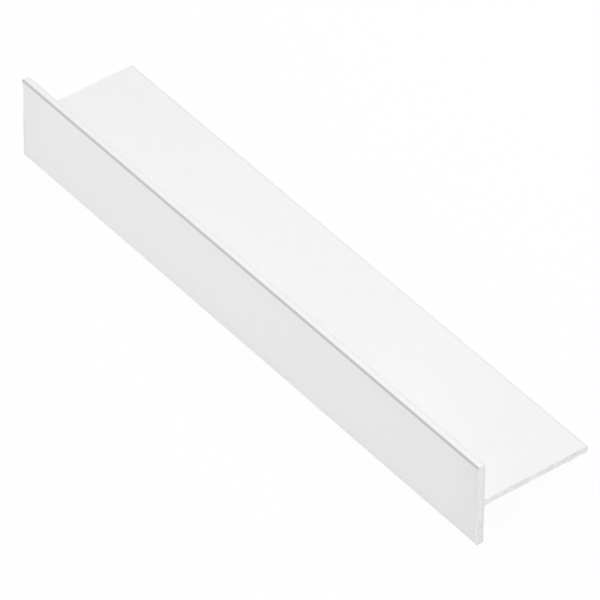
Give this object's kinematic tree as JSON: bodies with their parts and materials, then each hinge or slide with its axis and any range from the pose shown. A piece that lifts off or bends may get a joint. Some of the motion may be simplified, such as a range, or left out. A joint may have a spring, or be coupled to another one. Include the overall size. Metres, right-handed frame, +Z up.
{
  "type": "plastic t-profile",
  "caption": "Short length of extruded plastic T-section trim: flat flange, thinner web square on the middle of its back, rounded arrises and sawn ends, lying at rest on its edges.",
  "frame": {"origin": "on the floor, under the centre of the piece's bounding box", "axes": "+X along the extrusion's length, +Y from the flange towards the web's free edge, +Z up from the floor; the section leans 19.79 degrees about X from flange upright, with the web's free edge down"},
  "size_m": [0.1344, 0.0266, 0.0173],
  "materials": {
    "white_plastic": "satin, with faint die lines along the length"
  },
  "bodies": {
    "root": {"t_profile": "white_plastic"}
  },
  "joints": []
}
